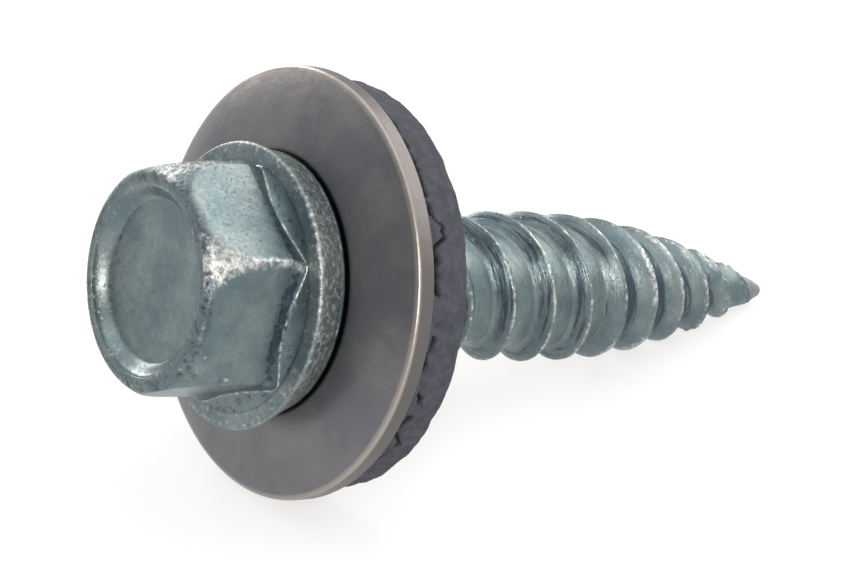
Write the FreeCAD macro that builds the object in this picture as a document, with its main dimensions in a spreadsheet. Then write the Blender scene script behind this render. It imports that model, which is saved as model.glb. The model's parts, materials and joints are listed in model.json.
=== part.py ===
import FreeCAD, Part
import math
import os

import Sketcher

# A sheet-metal screw with a hexagon washer head, a thread of two starts, a gimlet point and a
# captive sealing washer of dished steel with a rubber ring bonded to its back.
# It lies on the floor as it comes to rest, on the edge of the ring and on the point.
# Each piece is drawn on its own Z axis: zero is the flange's bearing face, +Z runs to the point.

doc = FreeCAD.newDocument("sealing_screw")

# Driving dimensions, in mm and degrees

sizes = {
    "hex_flats": 8.0,  # hexagon across flats at its foot
    "hex_draft": 1.2,  # lean of the flats, degrees
    "hex_corner": 0.4,  # rounding of the hexagon's corners
    "hex_turn": 3.4,  # turn of the hexagon about the axis, degrees
    "head_height": 5.2,  # bearing face to the top of the head
    "crown_width": 7.2,  # diameter of the head's highest ring
    "crown_lip": 0.28,  # bevel outside that ring
    "crown_reach": 0.7,  # how far out the cone that takes off the hexagon's corners runs
    "crown_drop": 1.7,  # how far down it runs
    "recess_width": 5.8,  # diameter of the recess's floor
    "recess_mouth": 6.95,  # diameter of the recess at the top
    "recess_depth": 0.52,  # depth of the recess in the head
    "recess_lip": 0.12,  # bevel at the recess's mouth
    "flange_width": 10.5,  # diameter of the flange at its front edge, where it is widest
    "flange_foot": 9.44,  # its diameter at the bearing face
    "flange_thick": 1.42,  # bearing face to the front edge
    "flange_knee": 8.9,  # diameter where its top starts to rise to the flats
    "knee_rise": 0.62,  # rise from there to under the hexagon
    "flange_edge": 0.12,  # bevel of the front edge
    "shank_width": 5.3,  # diameter of the plain shank under the washer

    "screw_length": 28.4,  # bearing face to the end of the point
    "thread_width": 6.2,  # diameter over the thread
    "thread_depth": 0.62,  # height of the thread's ridges
    "thread_spacing": 2.106,  # distance from ridge to ridge
    "thread_flank": 0.5,  # width of each flank, along the axis
    "thread_turn": 161.2,  # where a ridge stands at thread_mark, degrees
    "thread_mark": 10.96,  # height at which thread_turn is taken
    "thread_gap": 2.1,  # from the rubber's back to the end of the plain shank
    "shank_step": 0.05,  # how far the thread starts inside the shank's skin
    "shank_overlap": 0.5,  # length of the thread's blank inside the shank
    "rail_steps": 5,  # points to half a turn on each edge line of the thread
    "run_in": 7.5,  # length over which the ridges rise from the shank
    "run_out": 4.5,  # length over which they die away at the point
    "point_length": 13.5,  # length of the tapering point
    "point_bulge": 1.75,  # fullness of the point, 1 is a straight cone
    "point_end": 0.44,  # diameter of the blunt end

    "washer_width": 16.08,  # diameter of the steel washer
    "washer_bore": 5.5,  # bore of the steel washer
    "washer_thick": 0.6,  # thickness of the steel
    "washer_dish": 0.55,  # how far the steel's rim drops behind its middle
    "dish_reach": 2.84,  # width of the dished band outside the steel's flat middle
    "washer_edge": 0.15,  # bevel of the steel's front edge
    "washer_gap": 0.12,  # play between flange and washer
    "rubber_inset": 0.44,  # how far the rubber stays inside the steel's rim
    "rubber_bore": 5.46,  # bore of the rubber ring
    "rubber_depth": 1.9,  # depth of rubber behind the steel's rim
    "rubber_edge": 0.15,  # bevel of the rubber's back edge
}

sheet = doc.addObject("Spreadsheet::Sheet", "sizes")
for row, (alias, number) in enumerate(sizes.items(), 1):
    sheet.set("A%d" % row, alias)
    sheet.set("B%d" % row, str(number))
    sheet.setAlias("B%d" % row, alias)
doc.recompute()


def read(alias):
    return float(getattr(sheet, alias))


def worked(text):
    """What a formula in the sheet's names comes to."""
    return float(sheet.evalExpression(text))


def derive(alias, formula):
    """Add a value that follows from the others, written as a formula in the same sheet."""
    global row
    row += 1
    sheet.set("A%d" % row, alias)
    sheet.set("B%d" % row, "=" + formula)
    sheet.setAlias("B%d" % row, alias)
    doc.recompute()


# The washer's dish is an arc that leaves the flat middle level, so its radius follows from its drop
derive("washer_flat", "washer_width - 2 * dish_reach")
derive("dish_radius", "(dish_reach * dish_reach + washer_dish * washer_dish) / 2 / washer_dish")
derive("dish_middle", "washer_gap + dish_radius")
derive("back_radius", "dish_radius - washer_thick")
derive("rim_back", "dish_middle - sqrt(back_radius * back_radius - dish_reach * dish_reach)")
derive("rim_reach", "dish_reach - washer_edge")
derive("rim_front", "dish_middle - sqrt(dish_radius * dish_radius - rim_reach * rim_reach)")
derive("rubber_width", "washer_width - 2 * rubber_inset")
derive("rubber_reach", "dish_reach - rubber_inset")
derive("rubber_front", "dish_middle - sqrt(back_radius * back_radius - rubber_reach * rubber_reach)")
derive("rubber_back", "rim_back + rubber_depth")
derive("shank_end", "rubber_back + thread_gap")
derive("corner_middle", "(hex_flats / 2 - hex_corner) / cos(30 deg)")


# Helpers for sketches and features


def new_sketch(body, name, role):
    """A sketch on the body's own origin plane of this role."""
    sketch = body.newObject("Sketcher::SketchObject", name)
    face = [f for f in body.Origin.OriginFeatures if f.Role == role][0]
    sketch.AttachmentSupport = (face, [""])
    sketch.MapMode = "FlatFace"
    return sketch


def tie(sketch, kind, name, formula, *places):
    """Hold one distance or radius of a sketch to a formula."""
    number = sketch.addConstraint(Sketcher.Constraint(kind, *places, worked(formula)))
    sketch.renameConstraint(number, name)
    sketch.setExpression("Constraints." + name, formula)


def outline(sketch, corners, bows):
    """A closed outline through corners, each a pair of formulas.

    bows names the sides that are arcs: the formula of the radius, and the side it swells to.
    """
    spots = [FreeCAD.Vector(worked(x), worked(y)) for x, y in corners]
    count = len(corners)
    for index in range(count):
        first, last = spots[index], spots[(index + 1) % count]
        if index in bows:
            radius, side = bows[index]
            chord = last - first
            half = chord.Length / 2
            height = worked(radius) - math.sqrt(max(worked(radius) ** 2 - half**2, 0))
            across = FreeCAD.Vector(-chord.y, chord.x, 0).normalize()
            way = (first + last) * 0.5 + across * height * side
            sketch.addGeometry(Part.Arc(first, way, last))
        else:
            sketch.addGeometry(Part.LineSegment(first, last))
    for index in range(count):
        turned = sketch.getPoint(index, 1).distanceToPoint(spots[index]) > 1e-6
        start, end = (2, 1) if turned else (1, 2)
        tie(sketch, "DistanceX", "x%d" % index, corners[index][0], -1, 1, index, start)
        tie(sketch, "DistanceY", "y%d" % index, corners[index][1], -1, 1, index, start)
        follower = (index + 1) % count
        place = sketch.getPoint(follower, 1).distanceToPoint(spots[follower]) > 1e-6
        sketch.addConstraint(
            Sketcher.Constraint("Coincident", index, end, follower, 2 if place else 1)
        )
        if index in bows:
            tie(sketch, "Radius", "r%d" % index, bows[index][0], index)


def turned(body, kind, name, corners, bows={}):
    """A revolved feature of the body, from an outline in radius and height."""
    sketch = new_sketch(body, name + "_outline", "XZ_Plane")
    outline(sketch, corners, bows)
    feature = body.newObject("PartDesign::" + kind, name)
    feature.Profile = sketch
    feature.ReferenceAxis = (sketch, ["V_Axis"])
    feature.Angle = 360.0
    doc.recompute()
    return feature


# Screw blank: flange, shank, hexagon, crown and recess


def make_blank():
    body = doc.addObject("PartDesign::Body", "blank")
    slope_top = "-sizes.flange_thick - sizes.knee_rise"
    turned(
        body,
        "Revolution",
        "flange",
        [
            ("0", slope_top),
            ("sizes.hex_flats / 2 - sizes.hex_corner", slope_top),
            ("sizes.flange_knee / 2", "-sizes.flange_thick"),
            ("sizes.flange_width / 2 - sizes.flange_edge", "-sizes.flange_thick"),
            ("sizes.flange_width / 2", "-sizes.flange_thick + sizes.flange_edge"),
            ("sizes.flange_foot / 2", "0"),
            ("sizes.shank_width / 2", "0"),
            ("sizes.shank_width / 2", "sizes.shank_end"),
            ("0", "sizes.shank_end"),
        ],
    )
    hexagon = new_sketch(body, "hexagon", "XY_Plane")
    hexagon.setExpression("AttachmentOffset.Base.z", "-sizes.flange_thick")
    corners, bows = [], {}
    place = "sizes.corner_middle * {0}(({1}) * 1 deg) + sizes.hex_corner * {0}(({1} + {2}) * 1 deg)"
    for index in range(6):
        turn = "sizes.hex_turn + %d" % (60 * index)
        for lean in (-30, 30):
            corners.append(tuple(place.format(part, turn, lean) for part in ("cos", "sin")))
        bows[2 * index] = ("sizes.hex_corner", -1)
    outline(hexagon, corners, bows)
    flats = body.newObject("PartDesign::Pad", "flats")
    flats.Profile = hexagon
    flats.Reversed = True
    flats.setExpression("Length", "sizes.head_height - sizes.flange_thick")
    flats.setExpression("TaperAngle", "-sizes.hex_draft")
    doc.recompute()
    crown = [
        ("sizes.crown_width / 2", "-sizes.head_height"),
        ("sizes.crown_width / 2 + sizes.crown_lip", "-sizes.head_height + sizes.crown_lip"),
        (
            "sizes.crown_width / 2 + sizes.crown_lip + sizes.crown_reach",
            "-sizes.head_height + sizes.crown_lip + sizes.crown_drop",
        ),
        ("sizes.hex_flats", "-sizes.head_height + sizes.crown_lip + sizes.crown_drop"),
        ("sizes.hex_flats", "-sizes.head_height - sizes.crown_lip"),
        ("sizes.crown_width / 2", "-sizes.head_height - sizes.crown_lip"),
    ]
    turned(body, "Groove", "crown", crown)
    turned(
        body,
        "Groove",
        "recess",
        [
            ("0", "-sizes.head_height + sizes.recess_depth"),
            ("sizes.recess_width / 2", "-sizes.head_height + sizes.recess_depth"),
            ("sizes.recess_mouth / 2 - sizes.recess_lip", "-sizes.head_height + sizes.recess_lip"),
            ("sizes.recess_mouth / 2", "-sizes.head_height"),
            ("sizes.recess_mouth / 2", "-sizes.head_height - sizes.crown_lip"),
            ("0", "-sizes.head_height - sizes.crown_lip"),
        ],
    )
    return body


# Thread: two ridges side by side, each skinned with strips whose straight lines run along the axis


def eased(share):
    """A share of 0 to 1 that leaves 0 and reaches 1 level."""
    share = min(max(share, 0.0), 1.0)
    return share * share * (3 - 2 * share)


def thread_radius(height, ridge):
    """Radius of the thread's skin, ridge 0 being the root between two ridges and 1 the crest."""
    start = read("shank_width") / 2 - read("shank_step")
    end = read("point_end") / 2
    rise = eased((height - read("shank_end")) / read("run_in"))
    fade = eased((read("screw_length") - height) / read("run_out"))
    crest = start + (read("thread_width") / 2 - start) * rise
    along = (height - read("screw_length")) / read("point_length") + 1
    if along > 0:
        crest = end + (crest - end) * max(1 - along ** read("point_bulge"), 0.0)
    depth = read("thread_depth") * rise * fade * min(1, crest - end)
    return crest - (1 - ridge) * depth


def make_rail(offset, ridge, start, first, last):
    """One edge line of the strips of a ridge: its start, its offset from the crest, its height."""
    spacing, steps = read("thread_spacing"), read("rail_steps")
    count = round((last - first) / spacing * steps)
    points, places = [], []
    for step in range(count + 1):
        middle = first + spacing * step / steps
        angle = math.radians(read("thread_turn")) + math.pi * start
        angle += math.pi * (middle - read("thread_mark")) / spacing
        radius = thread_radius(middle + offset, ridge)
        points.append(
            FreeCAD.Vector(radius * math.cos(angle), radius * math.sin(angle), middle + offset)
        )
        places.append(middle)
    curve = Part.BSplineCurve()
    curve.interpolate(Points=points, Parameters=places)
    return curve


def thread_profile():
    """The ridge from foot to foot: offsets along the axis, and heights as shares of its depth."""
    return [(-read("thread_flank"), 0), (0, 1), (read("thread_flank"), 0)]


def make_thread():
    spacing = read("thread_spacing")
    first = read("shank_end") - 2 * spacing
    last = first + spacing * (int((read("screw_length") - first) / spacing) + 3)
    rails = [
        [make_rail(offset, ridge, start, first, last + spacing) for offset, ridge in thread_profile()]
        for start in (0, 1)
    ]
    strips = []
    for start in (0, 1):
        edges = [rail.toShape(first, last) for rail in rails[start]]
        edges.append(rails[1 - start][0].toShape(first + spacing, last + spacing))
        strips += [Part.makeRuledSurface(one, other) for one, other in zip(edges, edges[1:])]
    low = read("shank_end") - read("shank_overlap")
    slab = Part.makeCylinder(
        read("thread_width"), read("screw_length") - low, FreeCAD.Vector(0, 0, low)
    )
    skin = Part.makeShell(strips).common(slab)
    caps = []
    for level in (low, read("screw_length")):
        rim = [
            edge
            for edge in skin.Edges
            if abs(edge.BoundBox.ZMin - level) < 1e-3 and abs(edge.BoundBox.ZMax - level) < 1e-3
        ]
        caps.append(Part.Face(Part.Wire(Part.__sortEdges__(rim))))
    shell = Part.makeShell(skin.Faces + caps)
    shell.sewShape()
    solid = Part.makeSolid(shell)
    if solid.Volume < 0:
        solid.reverse()
    return solid


blank = make_blank()
thread = doc.addObject("Part::Feature", "thread")
thread.Shape = make_thread()
screw = doc.addObject("Part::Fuse", "screw")
screw.Base = blank
screw.Tool = thread


# Captive washer: a dished steel washer and the rubber ring bonded to its back

steel_washer = doc.addObject("PartDesign::Body", "steel_washer")
turned(
    steel_washer,
    "Revolution",
    "dish",
    [
        ("sizes.washer_bore / 2", "sizes.washer_gap"),
        ("sizes.washer_flat / 2", "sizes.washer_gap"),
        ("sizes.washer_width / 2 - sizes.washer_edge", "sizes.rim_front"),
        ("sizes.washer_width / 2", "sizes.rim_front + sizes.washer_edge"),
        ("sizes.washer_width / 2", "sizes.rim_back"),
        ("sizes.washer_flat / 2", "sizes.washer_gap + sizes.washer_thick"),
        ("sizes.washer_bore / 2", "sizes.washer_gap + sizes.washer_thick"),
    ],
    {1: ("sizes.dish_radius", -1), 4: ("sizes.back_radius", 1)},
)

seal_ring = doc.addObject("PartDesign::Body", "seal_ring")
turned(
    seal_ring,
    "Revolution",
    "rubber",
    [
        ("sizes.rubber_bore / 2", "sizes.washer_gap + sizes.washer_thick"),
        ("sizes.washer_flat / 2", "sizes.washer_gap + sizes.washer_thick"),
        ("sizes.rubber_width / 2", "sizes.rubber_front"),
        ("sizes.rubber_width / 2", "sizes.rubber_back - sizes.rubber_edge"),
        ("sizes.rubber_width / 2 - sizes.rubber_edge", "sizes.rubber_back"),
        ("sizes.rubber_bore / 2", "sizes.rubber_back"),
    ],
    {1: ("sizes.back_radius", -1)},
)

parts = [screw, steel_washer, seal_ring]
for part in parts:
    part.Label = part.Name
doc.recompute()


# Lying on the floor: the tilt at which the ring and the thread's end touch it together


def depth_under_axis(spots, tilt, rounded):
    """How far the lowest of these points lies under the axis's zero point, at this tilt."""
    sine, cosine = math.sin(tilt), math.cos(tilt)
    return max(
        spot.z * sine + (math.hypot(spot.x, spot.y) if rounded else spot.x) * cosine for spot in spots
    )


screw_spots = screw.Shape.tessellate(0.01)[0]
ring_spots = steel_washer.Shape.tessellate(0.01)[0] + seal_ring.Shape.tessellate(0.01)[0]
flat, steep = 0.0, math.pi / 4
for _ in range(50):
    tilt = (flat + steep) / 2
    if depth_under_axis(ring_spots, tilt, True) > depth_under_axis(screw_spots, tilt, False):
        flat = tilt
    else:
        steep = tilt
depth = depth_under_axis(ring_spots, tilt, True)
turn = FreeCAD.Rotation(FreeCAD.Vector(0, 1, 0), 90 + math.degrees(tilt))
ends = [turn.multVec(spot).x for spot in screw_spots]
lying = FreeCAD.Placement(FreeCAD.Vector(-(min(ends) + max(ends)) / 2, 0, depth), turn)
blank.Placement = lying
thread.Placement = lying
steel_washer.Placement = lying
seal_ring.Placement = lying
doc.recompute()

for item in doc.Objects:
    if "Invalid" in item.State or "Error" in item.State:
        raise ValueError("%s could not be worked out: %s" % (item.Label, item.State))
for part in parts:
    if part.Shape.isNull() or not part.Shape.isValid():
        raise ValueError("%s has no sound shape" % part.Label)

os.makedirs("parts", exist_ok=True)
for part in parts:
    part.Shape.exportStep("parts/%s.step" % part.Label)
    print("%s: %.1f cubic mm" % (part.Label, part.Shape.Volume))
print("tilt %.5f degrees, bearing face centre %s" % (math.degrees(tilt), lying.Base))
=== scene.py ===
import json
import math

import bpy
import numpy as np
from mathutils import Matrix, Vector, noise


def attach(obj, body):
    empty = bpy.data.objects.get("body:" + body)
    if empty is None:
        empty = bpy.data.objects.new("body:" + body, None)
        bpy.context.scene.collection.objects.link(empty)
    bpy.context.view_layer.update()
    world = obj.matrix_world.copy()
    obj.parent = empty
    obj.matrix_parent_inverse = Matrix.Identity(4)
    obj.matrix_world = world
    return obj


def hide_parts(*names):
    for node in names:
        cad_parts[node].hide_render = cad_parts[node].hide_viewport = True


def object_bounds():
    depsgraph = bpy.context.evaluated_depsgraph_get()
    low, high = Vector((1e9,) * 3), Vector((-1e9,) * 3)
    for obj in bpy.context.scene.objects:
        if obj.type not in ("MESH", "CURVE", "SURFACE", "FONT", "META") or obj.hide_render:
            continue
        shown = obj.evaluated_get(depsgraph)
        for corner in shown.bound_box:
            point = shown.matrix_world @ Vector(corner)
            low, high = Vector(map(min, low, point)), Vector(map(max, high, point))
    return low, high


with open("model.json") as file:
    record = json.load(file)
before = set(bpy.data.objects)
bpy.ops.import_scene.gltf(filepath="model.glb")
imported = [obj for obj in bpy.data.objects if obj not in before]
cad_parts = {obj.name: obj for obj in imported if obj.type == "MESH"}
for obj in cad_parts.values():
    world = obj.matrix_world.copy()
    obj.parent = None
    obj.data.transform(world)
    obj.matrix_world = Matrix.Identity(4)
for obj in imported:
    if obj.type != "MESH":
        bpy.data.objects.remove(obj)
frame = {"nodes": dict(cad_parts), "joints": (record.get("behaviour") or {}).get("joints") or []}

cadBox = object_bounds()
print("frame loaded:", ", ".join(sorted(frame["nodes"])))

# The screw is drawn in mm on its own axis: zero is the flange's bearing face, +Z runs to the point,
# +X points down. The washer's joint says where that axis lies in the part's frame.
mm = 0.001
washerSpin = frame["joints"][0]
axisWay = Vector(washerSpin["axis"]).normalized()
bearingSpot = Vector(washerSpin["pos_m"])
downWay = Vector((axisWay.z, 0, -axisWay.x))
sideWay = Vector((0, 1, 0))
turnToFrame = Matrix((downWay, sideWay, axisWay)).transposed()
screwToFrame = Matrix.Translation(bearingSpot) @ turnToFrame.to_4x4() @ Matrix.Scale(mm, 4)


# Small helpers for node trees

def addNode(tree, kind, inputs=None, **settings):
    made = tree.nodes.new(kind)
    for name, value in settings.items():
        setattr(made, name, value)
    for key, value in (inputs or {}).items():
        if isinstance(value, bpy.types.NodeSocket):
            tree.links.new(value, made.inputs[key])
        else:
            made.inputs[key].default_value = value
    return made


def calc(tree, operation, *terms):
    return addNode(tree, "ShaderNodeMath", dict(enumerate(terms)), operation=operation).outputs[0]


def remap(tree, value, fromMin, fromMax, toMin=0.0, toMax=1.0, smooth=True):
    inputs = {"Value": value, "From Min": fromMin, "From Max": fromMax, "To Min": toMin, "To Max": toMax}
    kind = "SMOOTHSTEP" if smooth else "LINEAR"
    return addNode(tree, "ShaderNodeMapRange", inputs, interpolation_type=kind).outputs[0]


def split(tree, vector):
    return addNode(tree, "ShaderNodeSeparateXYZ", {0: vector}).outputs


def readMark(tree, name):   # a vector that the mesh carries on its points
    return addNode(tree, "ShaderNodeAttribute", attribute_name=name).outputs["Vector"]


def noiseOf(tree, vector, scale, detail, roughness, distortion=0.0):
    inputs = {"Vector": vector, "Scale": scale, "Detail": detail, "Roughness": roughness,
              "Distortion": distortion}
    return addNode(tree, "ShaderNodeTexNoise", inputs).outputs[0]


def patches(tree, vector, low, high, toMin=0.0, toMax=1.0, **noiseInputs):   # noise with softly cut ends
    return remap(tree, noiseOf(tree, vector, **noiseInputs), low, high, toMin, toMax)


def blendColour(tree, share, first, second):
    mixer = addNode(tree, "ShaderNodeMix", data_type="RGBA")
    for socket, value in ((mixer.inputs[0], share), (mixer.inputs[6], first), (mixer.inputs[7], second)):
        if isinstance(value, bpy.types.NodeSocket):
            tree.links.new(value, socket)
        else:
            socket.default_value = (*value, 1.0) if isinstance(value, tuple) else value
    return mixer.outputs[2]


def newFinish(name, **constants):
    material = bpy.data.materials.new(name)
    material.use_nodes = True
    tree = material.node_tree
    shader = tree.nodes["Principled BSDF"]
    for key, value in constants.items():
        shader.inputs[key].default_value = value
    return material, tree, shader


def addRelief(tree, shader, height):   # height in mm
    bump = addNode(tree, "ShaderNodeBump", {"Height": height, "Distance": mm, "Strength": 1.0})
    tree.links.new(bump.outputs[0], shader.inputs["Normal"])


# Finishes. Every piece carries ownSpot, its place in mm on the screw's axis, and three marks in wear.
# On plated steel they are rubbed bright (wear, also painted glints), stained dark (stains, also painted
# shade) and hammered.

zincLook = {
    "pale": (0.188, 0.236, 0.24),    # fresh plating
    "deep": (0.118, 0.168, 0.182),   # duller patches
    "worn": (0.088, 0.072, 0.076),   # brownish wear
    "stainAndShade": (0.03, 0.052, 0.075),  # dark blue passivation in the corners, also painted shade in the recess, the creases, the thread's roots and under the flange
    "bareAndGlint": (0.55, 0.555, 0.545),    # edges rubbed bright, also painted glints and highlights
    "mottleShare": 0.3,              # of brownish mottle
    "mottleHammered": 0.5,           # and more of it where hammered
    "speckShare": 0.3,
    "stainSwing": 2.4,               # noise that breaks up the dark stains and painted shade
    "stainEdge": (1.65, 2.1, 0.0, 0.9),   # from, to, and the shares there
    "stainLeast": 0.42,              # where the stain-and-shade mark is set, also without noise
    "chafeSwing": 3.0,               # noise that breaks up the bare edges and painted glints
    "chafeEdge": (1.86, 2.76),
    "metallic": 0.82,
    "metallicHammered": -0.35,
    "glossRubbed": 0.12,             # taken off the roughness
    "dullHammered": 0.12,            # added to the roughness
    "pitDepth": 0.012,               # mm, as the next three
    "streakDepth": 0.04,
    "burnishDepth": 0.066,           # where hammered
    "waveDepth": 0.03,
}
zincNoise = {   # scales by the mm; low and high are where a patch starts and is full
    "broad": {"scale": 0.5, "detail": 4.0, "roughness": 0.6, "low": 0.36, "high": 0.66},
    "mottle": {"scale": 2.4, "detail": 5.0, "roughness": 0.65, "distortion": 0.6, "low": 0.50, "high": 0.72},
    "darkPatches": {"scale": 3.6, "detail": 4.0, "roughness": 0.72},
    "specks": {"scale": 5.5, "detail": 2.0, "roughness": 0.5, "low": 0.66, "high": 0.74},
    "chafe": {"scale": 4.5, "detail": 4.0, "roughness": 0.65},
    "dullness": {"scale": 6.0, "detail": 6.0, "roughness": 0.7, "low": 0.3, "high": 0.75,
                 "toMin": 0.27, "toMax": 0.46},
    "pits": {"scale": 9.0, "detail": 2.0, "roughness": 0.5, "low": 0.62, "high": 0.78},
    "streaks": {"scale": 1.0, "detail": 4.0, "roughness": 0.65},
    "burnish": {"scale": 5.0, "detail": 3.0, "roughness": 0.6},
    "waves": {"scale": 1.3, "detail": 3.0, "roughness": 0.5},
}
stainStretch = 0.25   # stains and painted shade are drawn out along the thread


def makeZinc():
    material, tree, shader = newFinish("brightZinc")
    spot, wind = readMark(tree, "ownSpot"), readMark(tree, "windSpot")
    rubbedAndGlint, stainAndShade, hammered = split(tree, readMark(tree, "wear"))

    broad = patches(tree, spot, **zincNoise["broad"])
    colour = blendColour(tree, broad, zincLook["deep"], zincLook["pale"])
    mottle = patches(tree, spot, **zincNoise["mottle"])
    mottled = calc(tree, "ADD", calc(tree, "MULTIPLY", hammered, zincLook["mottleHammered"]),
                   zincLook["mottleShare"])
    colour = blendColour(tree, calc(tree, "MULTIPLY", mottle, mottled), colour, zincLook["worn"])

    onThread = calc(tree, "GREATER_THAN", split(tree, wind)[0], 0.001)   # windSpot is zero on the head
    drawnOut = addNode(tree, "ShaderNodeVectorMath", {0: wind, "Scale": stainStretch}, operation="SCALE")
    stainSpot = addNode(tree, "ShaderNodeMix", {0: onThread, 4: spot, 5: drawnOut.outputs[0]},
                        data_type="VECTOR").outputs[1]
    darkPatches = noiseOf(tree, stainSpot, **zincNoise["darkPatches"])
    darkPatches = calc(tree, "MULTIPLY_ADD", darkPatches, zincLook["stainSwing"], stainAndShade)
    darkPatches = calc(tree, "MAXIMUM", remap(tree, darkPatches, *zincLook["stainEdge"]),
                 calc(tree, "MULTIPLY", stainAndShade, zincLook["stainLeast"]))
    # stains and painted shade: drawn blue-dark where the stain-and-shade mark is set
    colour = blendColour(tree, darkPatches, colour, zincLook["stainAndShade"])
    specks = patches(tree, spot, **zincNoise["specks"])
    colour = blendColour(tree, calc(tree, "MULTIPLY", specks, zincLook["speckShare"]), colour,
                         zincLook["worn"])
    chafed = noiseOf(tree, spot, **zincNoise["chafe"])
    chafed = calc(tree, "MULTIPLY_ADD", chafed, zincLook["chafeSwing"], rubbedAndGlint)
    # bare edges and painted glints: drawn bright where the rubbed mark is set
    colour = blendColour(tree, remap(tree, chafed, *zincLook["chafeEdge"]), colour, zincLook["bareAndGlint"])
    tree.links.new(colour, shader.inputs["Base Color"])

    dullness = patches(tree, spot, **zincNoise["dullness"])
    dullness = calc(tree, "SUBTRACT", dullness, calc(tree, "MULTIPLY", rubbedAndGlint, zincLook["glossRubbed"]))
    dullness = calc(tree, "MULTIPLY_ADD", hammered, zincLook["dullHammered"], dullness)
    tree.links.new(dullness, shader.inputs["Roughness"])
    metallic = calc(tree, "MULTIPLY_ADD", hammered, zincLook["metallicHammered"], zincLook["metallic"])
    tree.links.new(metallic, shader.inputs["Metallic"])

    relief = calc(tree, "MULTIPLY", patches(tree, spot, **zincNoise["pits"]), -zincLook["pitDepth"])
    streaks = noiseOf(tree, wind, **zincNoise["streaks"])
    relief = calc(tree, "ADD", relief, calc(tree, "MULTIPLY", streaks, -zincLook["streakDepth"]))
    burnish = noiseOf(tree, spot, **zincNoise["burnish"])
    burnish = calc(tree, "MULTIPLY", burnish, calc(tree, "MULTIPLY", hammered, zincLook["burnishDepth"]))
    relief = calc(tree, "ADD", relief, burnish)
    waves = noiseOf(tree, spot, **zincNoise["waves"])
    relief = calc(tree, "ADD", relief, calc(tree, "MULTIPLY", waves, zincLook["waveDepth"]))
    addRelief(tree, shader, relief)
    return material


steelLook = {   # wear: bright edge (worn and painted highlight), cut wall, painted shade in the crevice under the flange
    "base": (0.126, 0.132, 0.151),
    "warm": (0.176, 0.173, 0.178),   # cloudy patches
    "rim": (0.36, 0.335, 0.31),      # the front edge, worn bright and a painted highlight all round
    "cut": (0.12, 0.113, 0.112),     # the wall of the rim
    "creviceShade": (0.005, 0.006, 0.008),  # painted shade: the crevice under the flange
    "metallic": 0.7,
    "roughness": (0.34, 0.46),
    "rimGloss": 0.06,                # taken off the roughness on the bright edge
    "brushing": 0.003,               # mm
    "dentDepth": 0.05,               # mm
}
steelNoise = {
    "clouds": {"scale": 0.3, "detail": 5.0, "roughness": 0.62, "distortion": 0.4, "low": 0.36, "high": 0.66},
    "grain": {"scale": 14.0, "detail": 3.0, "roughness": 0.6},
    "dents": {"scale": 0.8, "detail": 3.0, "roughness": 0.5},
}


def makeSatinSteel():
    material, tree, shader = newFinish("satinSteel", Metallic=steelLook["metallic"])
    spot = readMark(tree, "ownSpot")
    # the third wear mark is painted shade in the crevice under the flange
    rim, cut, creviceShade = split(tree, readMark(tree, "wear"))
    clouds = patches(tree, spot, **steelNoise["clouds"])
    colour = blendColour(tree, clouds, steelLook["base"], steelLook["warm"])
    colour = blendColour(tree, cut, colour, steelLook["cut"])
    colour = blendColour(tree, creviceShade, colour, steelLook["creviceShade"])
    colour = blendColour(tree, rim, colour, steelLook["rim"])
    tree.links.new(colour, shader.inputs["Base Color"])
    grain = noiseOf(tree, spot, **steelNoise["grain"])
    dullness = remap(tree, grain, 0.3, 0.7, *steelLook["roughness"])
    dullness = calc(tree, "SUBTRACT", dullness, calc(tree, "MULTIPLY", rim, steelLook["rimGloss"]))
    tree.links.new(dullness, shader.inputs["Roughness"])
    dents = calc(tree, "MULTIPLY", noiseOf(tree, spot, **steelNoise["dents"]), steelLook["dentDepth"])
    addRelief(tree, shader, calc(tree, "ADD", calc(tree, "MULTIPLY", grain, steelLook["brushing"]), dents))
    return material


rubberLook = {   # wear: the torn groove, drawn near black as painted shade
    "base": (0.038, 0.043, 0.056),
    "dusty": (0.068, 0.076, 0.097),
    # painted shade in the torn groove
    "tearAndShade": (0.004, 0.004, 0.005),
    "roughness": 0.8,
    "shine": 0.3,
    "grainDepth": 0.05,   # mm
}
rubberNoise = {
    "dust": {"scale": 2.6, "detail": 6.0, "roughness": 0.7, "low": 0.32, "high": 0.72},
    "grain": {"scale": 5.0, "detail": 8.0, "roughness": 0.7},
}


def makeRubber():
    constants = {"Roughness": rubberLook["roughness"], "Specular IOR Level": rubberLook["shine"]}
    material, tree, shader = newFinish("sealRubber", **constants)
    spot = readMark(tree, "ownSpot")
    dust = patches(tree, spot, **rubberNoise["dust"])
    colour = blendColour(tree, dust, rubberLook["base"], rubberLook["dusty"])
    colour = blendColour(tree, split(tree, readMark(tree, "wear"))[0], colour, rubberLook["tearAndShade"])
    tree.links.new(colour, shader.inputs["Base Color"])
    grain = noiseOf(tree, spot, **rubberNoise["grain"])
    addRelief(tree, shader, calc(tree, "MULTIPLY", grain, rubberLook["grainDepth"]))
    return material


zinc = makeZinc()
satinSteel = makeSatinSteel()
sealRubber = makeRubber()
print("finishes made")


# Meshes in mm on the screw's axis

def keepMark(mesh, name, values):
    layer = mesh.attributes.new(name, "FLOAT_VECTOR", "POINT")
    layer.data.foreach_set("vector", np.asarray(values, np.float32).ravel())


def readSpots(mesh):
    spots = np.empty((len(mesh.vertices), 3), np.float32)
    mesh.vertices.foreach_get("co", spots.ravel())
    return spots


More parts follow.
